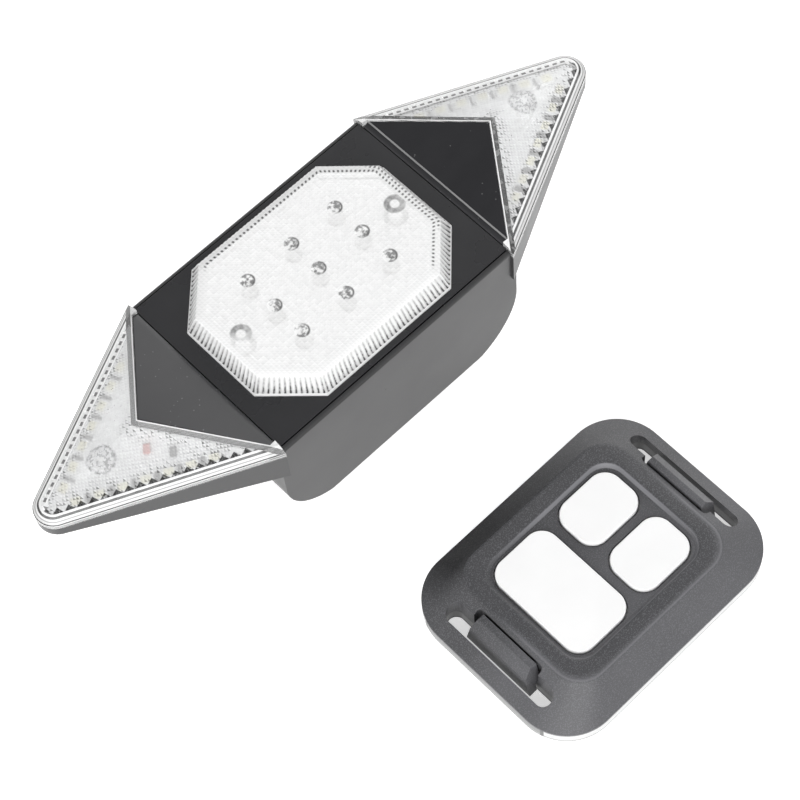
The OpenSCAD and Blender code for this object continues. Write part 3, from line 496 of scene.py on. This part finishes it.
def evenly_lit(piece):
    """Keeps the shading of large flat faces even up to their rounded edges."""
    piece.modifiers.new("even_shading", "WEIGHTED_NORMAL").keep_sharp = True
    bpy.context.view_layer.update()
    seen = piece.evaluated_get(bpy.context.evaluated_depsgraph_get())
    mesh = bpy.data.meshes.new_from_object(seen)
    piece.modifiers.clear()
    piece.data = mesh


def show(bm, name, finishes, node, stands_for=True, crease=35, even=False):
    """Turns a built mesh into a piece that rides with a CAD node's body."""
    mesh = bpy.data.meshes.new(name)
    bm.to_mesh(mesh)
    bm.free()
    for finish in finishes:
        mesh.materials.append(finish)
    mesh.shade_smooth()
    mesh.set_sharp_from_angle(angle=math.radians(crease))
    piece = bpy.data.objects.new(name, mesh)
    bpy.context.scene.collection.objects.link(piece)
    if even:
        evenly_lit(piece)
    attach(piece, BODY_OF[node])
    if stands_for:
        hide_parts(node)


def round_edges(bm, width, sharp, height=None):
    """Rounds edges sharper than an angle by width, all of them or those that lie at one height."""
    edges = [e for e in bm.edges if len(e.link_faces) == 2 and e.calc_face_angle(0) > math.radians(sharp)
             and (height is None or all(abs(v.co.z / MM - height) < 0.05 for v in e.verts))]
    bmesh.ops.bevel(bm, geom=edges, offset=width * MM, segments=2, profile=0.5, affect="EDGES",
                    clamp_overlap=True)


def softened(node, width, sharp=25, creases=(), gentle=12):
    """A copy of a CAD node with flat faces joined and edges rounded, gentle ones only at given heights."""
    bm = bmesh.new()
    bm.from_mesh(nodes[node].data)
    bmesh.ops.remove_doubles(bm, verts=bm.verts, dist=0.002 * MM)
    bmesh.ops.dissolve_limit(bm, angle_limit=math.radians(0.4), verts=bm.verts, edges=bm.edges)
    for radius, height in creases:
        round_edges(bm, radius, gentle, height)
    round_edges(bm, width, sharp)
    show(bm, node + "_skin", [CAD_FINISH[node]], node, even=True)


def outward(bm):
    """Closes doubled points and turns every face outwards."""
    bmesh.ops.remove_doubles(bm, verts=bm.verts, dist=0.001 * MM)
    bmesh.ops.recalc_face_normals(bm, faces=bm.faces)


def turned(profile, steps=24):
    """A round piece from a profile of radius and height, closed at both ends."""
    bm = bmesh.new()
    rings = []
    for r, z in profile:
        rings.append([bm.verts.new((r * MM * math.cos(a), r * MM * math.sin(a), z * MM))
                      for a in (2 * math.pi * k / steps for k in range(steps))])
    for low, high in zip(rings, rings[1:]):
        for i in range(steps):
            j = (i + 1) % steps
            bm.faces.new((low[i], low[j], high[j], high[i]))
    bm.faces.new(rings[0][::-1])
    bm.faces.new(rings[-1])
    outward(bm)
    return bm


def slab(l, w, h, bevel=0.15):
    """A small block on z = 0 with rounded edges."""
    bm = bmesh.new()
    bmesh.ops.create_cube(bm, size=1)
    size = Matrix.Diagonal((l * MM, w * MM, h * MM, 1))
    bmesh.ops.transform(bm, matrix=Matrix.Translation((0, 0, h / 2 * MM)) @ size, verts=bm.verts)
    bmesh.ops.bevel(bm, geom=bm.edges[:], offset=bevel * MM, segments=2, profile=0.5, affect="EDGES")
    return bm


def layout_group():
    """Geometry Nodes that lay copies of a piece in rows."""
    group = bpy.data.node_groups.new("rows_of_pieces", "GeometryNodeTree")
    for label, kind in (("Piece", "Object"), ("Finish", "Material"), ("Columns", "Int"), ("Rows", "Int"),
                        ("Start", "Vector"), ("Step", "Vector"), ("Across", "Vector"), ("Turn", "Vector")):
        group.interface.new_socket(name=label, in_out="INPUT", socket_type="NodeSocket" + kind)
    group.interface.new_socket(name="Geometry", in_out="OUTPUT", socket_type="NodeSocketGeometry")
    given = group.nodes.new("NodeGroupInput").outputs

    def node(kind, settings=None, **links):
        made = group.nodes.new(kind)
        for key, value in (settings or {}).items():
            setattr(made, key, value)
        for key, socket in links.items():
            group.links.new(socket, made.inputs[key.replace("_", " ")])
        return made.outputs

    row = node("GeometryNodeMeshLine", {"mode": "OFFSET"}, Count=given["Rows"], Offset=given["Across"])
    column = node("GeometryNodeMeshLine", {"mode": "OFFSET"}, Count=given["Columns"],
                  Start_Location=given["Start"], Offset=given["Step"])
    grid = node("GeometryNodeInstanceOnPoints", Points=column["Mesh"], Instance=row["Mesh"])
    spots = node("GeometryNodeRealizeInstances", Geometry=grid["Instances"])
    piece = node("GeometryNodeObjectInfo", Object=given["Piece"])
    angle = node("FunctionNodeEulerToRotation", Euler=given["Turn"])
    laid = node("GeometryNodeInstanceOnPoints", Points=spots["Geometry"], Instance=piece["Geometry"],
                Rotation=angle["Rotation"])
    solid = node("GeometryNodeRealizeInstances", Geometry=laid["Instances"])
    dressed = node("GeometryNodeSetMaterial", Geometry=solid["Geometry"], Material=given["Finish"])
    node("NodeGroupOutput", Geometry=dressed["Geometry"])
    return group


ROWS = layout_group()


def laid_out(bm, finish, columns, start, step, rows=1, across=(0, 0, 0), turn=0.0):
    """Lays copies of a piece in rows, sizes in millimetres, and returns them as one mesh."""
    scene = bpy.context.scene
    mesh = bpy.data.meshes.new("one")
    bm.to_mesh(mesh)
    bm.free()
    one = bpy.data.objects.new("one", mesh)
    carrier = bpy.data.objects.new("rows", bpy.data.meshes.new("rows"))
    scene.collection.objects.link(one)
    scene.collection.objects.link(carrier)
    rows_of = carrier.modifiers.new("rows", "NODES")
    rows_of.node_group = ROWS
    sizes = {"Piece": one, "Finish": finish, "Columns": columns, "Rows": rows, "Turn": (0, 0, turn)}
    for label, spot in (("Start", start), ("Step", step), ("Across", across)):
        sizes[label] = [s * MM for s in spot]
    for item in ROWS.interface.items_tree:
        if item.in_out == "INPUT":
            rows_of[item.identifier] = sizes[item.name]
    bpy.context.view_layer.update()
    seen = carrier.evaluated_get(bpy.context.evaluated_depsgraph_get())
    made = bpy.data.meshes.new_from_object(seen)
    result = bmesh.new()
    result.from_mesh(made)
    for thing in (carrier, one):
        bpy.data.objects.remove(thing)
    return result


def gathered(parts):
    """Several meshes as one."""
    whole = bmesh.new()
    for part in parts:
        mesh = bpy.data.meshes.new("part")
        part.to_mesh(mesh)
        part.free()
        whole.from_mesh(mesh)
        bpy.data.meshes.remove(mesh)
    return whole


def mirrored(bm, x, y):
    """A mirrored copy of a mesh."""
    copy = bm.copy()
    bmesh.ops.scale(copy, vec=(x, y, 1), verts=copy.verts)
    if x * y < 0:
        bmesh.ops.reverse_faces(copy, faces=copy.faces)
    return copy


def octagon(inset):
    """Corners of the centre lens's outline, drawn in by inset."""
    x, y = LENS_L / 2 - inset, LENS_W / 2 - inset
    c = LENS_CUT - inset * (2 - math.sqrt(2))
    return [(x - c, -y), (x, c - y), (x, y - c), (x - c, y), (c - x, y), (-x, y - c), (-x, c - y), (c - x, -y)]


# Ribs along each side of the centre lens, the steps across one rib, and the ribs' foot and height
RIB_COUNTS = [13, 18, 13, 31, 13, 18, 13, 31]
RIB_WAVE = (0, 0.5, 1, 0.5)
RIB_FOOT, RIB_H = 0.55, 3.2


def ribbed_ring(inset, rib, z):
    """Outline of the centre lens at one height, with ribs of depth rib along each side."""
    corners = octagon(inset)
    ring = []
    for i, count in enumerate(RIB_COUNTS):
        start, end = Vector(corners[i]), Vector(corners[(i + 1) % len(corners)])
        side = end - start
        inward = Vector((-side.y, side.x)).normalized()
        steps = len(RIB_WAVE) * count
        for k in range(steps):
            p = start + side * (k / steps) + inward * rib * RIB_WAVE[k % len(RIB_WAVE)]
            ring.append((p.x * MM, p.y * MM, (FACE + z) * MM))
    return ring


def centre_lens():
    """Eight-sided lens: ribbed leaning sides and a flat top."""
    bm = bmesh.new()
    looks = [CLEAR, RIBS, MESH, FOOT, BRIM]
    crest, rise, drawn_in = (bm.verts.layers.float.new(n) for n in ("crest", "rise", "inset"))
    # Inset, depth of the ribs and height of each ring, and the finish of each band between two rings
    levels = [(0, 0, -LENS_SEAT), (0, 0, 0.3), (0.2, 0, 0.5), (0.25, 0.3, RIB_FOOT), (1.45, 0.34, 3.2),
              (1.75, 0.2, 3.75), (2.0, 0, 4.05), (2.35, 0, LENS_H), (3.9, 0, LENS_H)]
    bands = [FOOT] * 2 + [RIBS] * 3 + [BRIM] * 3
    rings = []
    for inset, rib, z in levels:
        ring = [bm.verts.new(p) for p in ribbed_ring(inset, rib, z)]
        for k, v in enumerate(ring):
            v[crest] = RIB_WAVE[k % len(RIB_WAVE)]
            v[rise] = min(1, max(0, (z - RIB_FOOT) / RIB_H))
            v[drawn_in] = inset
        rings.append(ring)
    count = len(rings[0])
    for finish, low, high in zip(bands, rings, rings[1:]):
        for i in range(count):
            j = (i + 1) % count
            bm.faces.new((low[i], low[j], high[j], high[i])).material_index = looks.index(finish)
    bm.faces.new(rings[-1]).material_index = looks.index(MESH)
    foot, roof = ([bm.verts.new(p) for p in ribbed_ring(inner, 0, z)]
                  for inner, z in ((2.0, -LENS_SEAT), (3.2, LENS_H - LENS_T)))
    bm.faces.new(roof[::-1])
    for i in range(count):
        j = (i + 1) % count
        bm.faces.new((foot[i], roof[i], roof[j], foot[j])).material_index = looks.index(FOOT)
    bmesh.ops.triangle_fill(bm, use_beauty=True, edges=[e for e in bm.edges if len(e.link_faces) == 1])
    outward(bm)
    show(bm, "centre_lens_ribs", looks, "centre_lens", crease=50)


def arm_line(inset, x):
    """Half width of the wing at x, drawn in from its edge by inset."""
    return (WING_TIP - inset / math.sin(WING_ANGLE) - x) * WING_SLOPE


def tip_arc(inset, steps=14):
    """Points round the wing's tip, drawn in by inset, from the -Y arm to the +Y arm."""
    r = TIP_R - inset
    most = math.pi / 2 - WING_ANGLE
    angles = [most * (2 * k / steps - 1) for k in range(steps + 1)]
    return [(TIP_C + r * math.cos(a), r * math.sin(a)) for a in angles]


def wing_edge(inset):
    """Points along both arms and round the tip, from the root at -Y to the root at +Y."""
    arm = [WING_ROOT + (TIP_C - WING_ROOT) * k / 12 for k in range(12)]
    near = [(x, -arm_line(inset, x)) for x in arm]
    return near + tip_arc(inset) + [(x, -y) for x, y in reversed(near)]


def wing_field(inset, notch):
    """Outline of the wing's inside, drawn in from the edge and from the notch."""
    tip = WING_TIP - inset / math.sin(WING_ANGLE)
    peak = PEAK_X + notch / math.sin(CAP_EDGE)
    steep = math.tan(CAP_EDGE)
    x = (steep * peak - WING_SLOPE * tip) / (steep - WING_SLOPE)
    y = (tip - x) * WING_SLOPE
    return [(x, -y)] + tip_arc(inset) + [(x, y), (peak, 0)]


def from_edge(x, y):
    """Distance of a point inside the wing from its edge."""
    if abs(math.atan2(y, x - TIP_C)) < math.pi / 2 - WING_ANGLE and x > TIP_C:
        return TIP_R - math.hypot(x - TIP_C, y)
    return (WING_TIP - x) * math.sin(WING_ANGLE) - abs(y) * math.cos(WING_ANGLE)


def from_notch(x, y):
    """Distance of a point from the notch that the cap fills."""
    return (x - PEAK_X) * math.sin(CAP_EDGE) + abs(y) * math.cos(CAP_EDGE)


def along_arm(x, y):
    """Distance of a point from the wing's tip, measured along an arm."""
    return (WING_TIP - x) * math.cos(WING_ANGLE) + abs(y) * math.sin(WING_ANGLE)


# Distance from the wing's edge and height above the face at each bend of its lens
BORDER = [(0, -0.2), (0.2, 0.0), (1.45, 0.95), (1.7, 1.0), (12.98, PEAK_H)]


def skin_height(x, y):
    """Height of the wing lens above the face."""
    d = max(0, from_edge(x, y))
    for (d0, z0), (d1, z1) in zip(BORDER, BORDER[1:]):
        if d <= d1 or d1 == BORDER[-1][0]:
            return z0 + (z1 - z0) * (d - d0) / (d1 - d0)


def underside(x, y, lowest=-0.9):
    """Height of the wing lens's inner side above the face."""
    return max(skin_height(x, y) - WING_T, lowest)


def lens_sheet(bm, outline, lines, height, marks, finish, flip=False):
    """Triangles inside an outline, bent along lines, lifted to a height, and their border edges."""
    points = list(outline)
    edges = [(i, (i + 1) % len(outline)) for i in range(len(outline))]
    for line in lines:
        start = len(points)
        points += line
        edges += [(start + k, start + k + 1) for k in range(len(line) - 1)]
    verts, _, faces, _, _, _ = delaunay_2d_cdt([Vector(p) for p in points], edges, [], 1, 1e-4)
    made = []
    for v in verts:
        point = bm.verts.new((v.x * MM, v.y * MM, (FACE + height(v.x, v.y)) * MM))
        for layer, measure in marks:
            point[layer] = measure(v.x, v.y)
        made.append(point)
    fresh = []
    for f in faces:
        ring = [made[i] for i in f]
        face = bm.faces.new(ring[::-1] if flip else ring)
        face.material_index = finish
        fresh.append(face)
    return [e for f in fresh for e in f.edges if len(e.link_faces) == 1]


def drop(bm, rim, z, finish):
    """Runs a wall from a border down to a height."""
    made = bmesh.ops.extrude_edge_only(bm, edges=rim)["geom"]
    for part in made:
        if isinstance(part, bmesh.types.BMVert):
            part.co.z = z * MM
        elif isinstance(part, bmesh.types.BMFace):
            part.material_index = finish


def wing_lens(side, node):
    """Wing lens: a stepped border that rises to two slopes, and a smooth underside."""
    bm = bmesh.new()
    looks = [CLEAR, SKIN, LENS_RIM, FOOT]
    layers = [bm.verts.layers.float.new(n) for n in ("edge", "along", "notch")]
    marks = list(zip(layers, (from_edge, along_arm, from_notch)))
    lines = [wing_edge(d) for d, _ in BORDER[:4]]
    outline = lines[0] + [line[-1] for line in lines[1:]] + [
        (WING_ROOT, CAP_Y), (RIDGE_X, CAP_Y), (PEAK_X, 0), (RIDGE_X, -CAP_Y), (WING_ROOT, -CAP_Y)] + [
        line[0] for line in reversed(lines[1:])]
    ridge = [(TIP_C + TIP_R - BORDER[3][0], 0), (TIP_C, 0), (PEAK_X, 0)]
    rim = lens_sheet(bm, outline, lines[1:] + [ridge], skin_height, marks, looks.index(SKIN))
    drop(bm, rim, RIM, looks.index(LENS_RIM))
    inner = wing_field(WING_T, WING_T)
    tip = max(x for x, _ in inner)
    rim = lens_sheet(bm, inner, [[(tip, 0), inner[-1]]], underside, [], looks.index(CLEAR), flip=True)
    drop(bm, rim, RIM, looks.index(FOOT))
    bmesh.ops.triangle_fill(bm, use_beauty=True, edges=[e for e in bm.edges if len(e.link_faces) == 1])
    if side < 0:
        bmesh.ops.scale(bm, vec=(-1, 1, 1), verts=bm.verts)
    outward(bm)
    show(bm, node + "_prisms", looks, node, crease=14)


def half_round(r, low, high, side, gap=0.12, bevel=0.08):
    """Half of a round plate with a rounded rim, a gap away from the X axis on one side."""
    bm = bmesh.new()
    arc = [(math.pi * k / 12) * side for k in range(13)]
    ring = [bm.verts.new((r * MM * math.cos(a), (r * math.sin(a) + gap * side) * MM, low * MM)) for a in arc]
    top = bmesh.ops.extrude_face_region(bm, geom=[bm.faces.new(ring)])["geom"]
    for part in top:
        if isinstance(part, bmesh.types.BMVert):
            part.co.z = high * MM
    outward(bm)
    bmesh.ops.bevel(bm, geom=bm.edges[:], offset=bevel * MM, segments=2, profile=0.5, affect="EDGES")
    return bm


def signal_lights():
    """Nine clear domes, each with the two halves of its metal frame inside."""
    r, h = LED_R, LED_H - LED_R
    dome = [(r * math.cos(a), h + r * math.sin(a)) for a in (math.pi / 2 * k / 8 for k in range(8))]
    body = turned([(r + 0.15, 0), (r + 0.15, 0.8), (r, 1.0)] + dome + [(0.05, LED_H)])
    anvil = half_round(LED_R - 0.5, 1.2, h - 0.8, -1)
    post = half_round(LED_R - 0.7, 1.2, h - 1.0, 1)
    place = dict(columns=3, start=(-LED_PITCH_X, -LED_PITCH_Y, BOARD_TOP), step=(LED_PITCH_X, 0, 0),
                 rows=3, across=(0, LED_PITCH_Y, 0))
    show(laid_out(body, EPOXY, **place), "signal_domes", [EPOXY], "signal_leds")
    show(laid_out(anvil, CUP, **place), "signal_anvils", [CUP], "signal_leds", stands_for=False)
    show(laid_out(post, STEEL, **place), "signal_posts", [STEEL], "signal_leds", stands_for=False)


def lens_posts():
    """Round posts under the lenses, those of the wings with a grey ring at the top."""
    def pair(piece, finish, x):
        return laid_out(piece, finish, 2, (-x, 0, 0), (2 * x, 0, 0))

    stems = []
    under_lens = FACE + LENS_H - LENS_T - 0.1
    for x, low, top in ((POST_X, BOARD_TOP, under_lens), (WING_POST_X, WING_BOARD_TOP, WING_POST_TOP)):
        stem = [(1.5, low), (1.3, top - 0.4), (1.0, top - 0.3), (0.7, top - 0.1)]
        stems.append(pair(turned(stem), REFLECTOR, x))
    top = WING_POST_TOP
    ring = [(1.05, top - 0.3), (POST_R - 0.05, top - 0.4), (POST_R, top - 0.2), (POST_R - 0.2, top),
            (1.15, top), (1.0, top - 0.15)]
    show(gathered(stems), "lens_post_stems", [REFLECTOR], "centre_lens", stands_for=False)
    show(pair(turned(ring), POST, WING_POST_X), "wing_post_rings", [POST], "centre_lens", stands_for=False)


def wing_lights(side, node):
    """Square lights along both arms of a wing, with solder pads or dark parts between them."""
    turn = math.pi - WING_ANGLE
    lean = Matrix.Rotation(turn, 2)
    start = Vector((WING_TIP, 0)) + lean @ Vector((ARM_START, ARM_INSET))
    step = lean @ Vector((ARM_PITCH, 0))
    half = step / 2

    def row(piece, finish, count, shift=Vector((0, 0)), z=0.0, arms=(1, -1)):
        spot = start + shift
        one = laid_out(piece, finish, count, (spot.x, spot.y, WING_BOARD_TOP + z), (step.x, step.y, 0),
                       turn=turn)
        return gathered([mirrored(one, side, arm) for arm in arms])

    bodies = row(slab(2.8, 1.9, 0.7), LED_BODY, ARM_LEDS)
    phosphor = row(slab(1.9, 1.4, 0.15, 0.05), PHOSPHOR, ARM_LEDS, z=0.66)
    pads = row(slab(0.55, 2.2, 0.2, 0.05), SOLDER, ARM_LEDS - 1, half, 0.01, (1,))
    drivers = row(slab(0.8, 2.0, 0.6, 0.1), PARTS_BLACK, ARM_LEDS - 1, half, 0.01, (-1,))
    show(bodies, node + "_bodies", [LED_BODY], node, crease=30)
    show(phosphor, node + "_phosphor", [PHOSPHOR], node, False, 30)
    show(pads, node + "_pads", [SOLDER], node, False, 30)
    show(drivers, node + "_drivers", [PARTS_BLACK], node, False, 30)


def loose_parts():
    """Two small parts on the left wing's board, beside the notch."""
    for name, finish, x, y in (("red_part", PARTS_RED, -45.9, -2.3), ("dark_part", PARTS_BLACK, -42.9, -6.4)):
        part = slab(2.0, 1.3, 0.8, 0.15)
        bmesh.ops.transform(part, matrix=Matrix.Translation((x * MM, y * MM, WING_BOARD_TOP * MM))
                            @ Matrix.Rotation(CAP_EDGE, 4, "Z"), verts=part.verts)
        show(part, name, [finish], "left_wing_leds", False, 30)


# The dressed part
for node, width in (("rear_housing", 0.3), ("front_bezel", 0.15), ("left_wing_cap", 0.2),
                    ("right_wing_cap", 0.2)):
    softened(node, width)
softened("remote_cover", 0.15, 18, [(0.5, SHOULDER), (0.2, REMOTE_TOP), (0.2, HOOK_TOP), (0.3, SKIRT_FOOT)])
for node, width in (("remote_base", 0.2), ("large_key", 0.3), ("left_key", 0.3), ("right_key", 0.3),
                    ("power_button", 0.25), ("port_flap", 0.2)):
    softened(node, width)
centre_lens()
wing_lens(1, "right_wing_lens")
wing_lens(-1, "left_wing_lens")
signal_lights()
lens_posts()
wing_lights(1, "right_wing_leds")
wing_lights(-1, "left_wing_leds")
loose_parts()


def paper_floor():
    """White floor that keeps the shadow and shows as bright paper."""
    bpy.ops.mesh.primitive_plane_add(size=6, location=(0, 0, -0.2 * MM))
    floor = bpy.context.object
    floor.name = "floor"
    f = Finish("floor_paper")
    camera, glossy, through = (f.node("ShaderNodeLightPath", out="Is %s Ray" % ray)
                               for ray in ("Camera", "Glossy", "Transmission"))
    seen = (camera + glossy + through) > 0.5
    paper = f.node("ShaderNodeBsdfDiffuse", sockets={"Color": (0.8, 0.8, 0.8, 1)})
    glow = f.node("ShaderNodeEmission", sockets={"Color": (1, 1, 1, 1), "Strength": seen * 0.6})
    floor.data.materials.append(f.close(f.node("ShaderNodeAddShader", sockets={0: paper, 1: glow})))


def studio_light():
    """A soft world that is darker overhead, and three large lamps."""
    w = Finish("studio", bpy.data.worlds)
    spot = w.node("ShaderNodeTexCoord", out="Generated")
    x, z = (w.node("ShaderNodeSeparateXYZ", sockets={0: spot}, out=axis) for axis in "XZ")
    level = w.ramp(z - x * 0.35, (0.0, 0.85), (0.5, 0.8), (0.8, 0.5), (0.97, 0.2))
    back = w.node("ShaderNodeBackground", sockets={"Color": level})
    w.node("ShaderNodeOutputWorld", sockets={"Surface": back})
    scene = bpy.context.scene
    scene.world = w.owner

    def lamp(name, way, size, power, reach=0.9):
        light = bpy.data.lights.new(name, "AREA")
        light.shape = "DISK"
        light.size = size
        light.energy = power
        stand = Vector(way).normalized() * reach
        made = bpy.data.objects.new(name, light)
        made.matrix_world = Matrix.Translation(stand) @ (-stand).to_track_quat("-Z", "Y").to_matrix().to_4x4()
        scene.collection.objects.link(made)

    lamp("right_lamp", (0.85, 0.35, 0.5), 0.8, 2.8)
    lamp("front_lamp", (-0.62, -0.66, 0.5), 1.0, 7.5)
    lamp("side_lamp", (-0.75, 0.36, 0.6), 0.6, 1.0)


def photo_camera():
    """Camera at the photograph's place, with its turns in degrees."""
    camera = bpy.data.objects.new("camera", bpy.data.cameras.new("camera"))
    camera.data.lens = 102.13
    camera.data.sensor_width = 36
    camera.data.clip_start = 0.01
    camera.location = Vector((-122.055, -178.479, 396.347)) * MM
    camera.rotation_euler = [math.radians(turn) for turn in (27.10302, 3.23246, -43.81665)]
    scene = bpy.context.scene
    scene.collection.objects.link(camera)
    scene.camera = camera
    scene.view_settings.view_transform = "Standard"


# Studio and camera
paper_floor()
studio_light()
photo_camera()
bpy.context.view_layer.update()
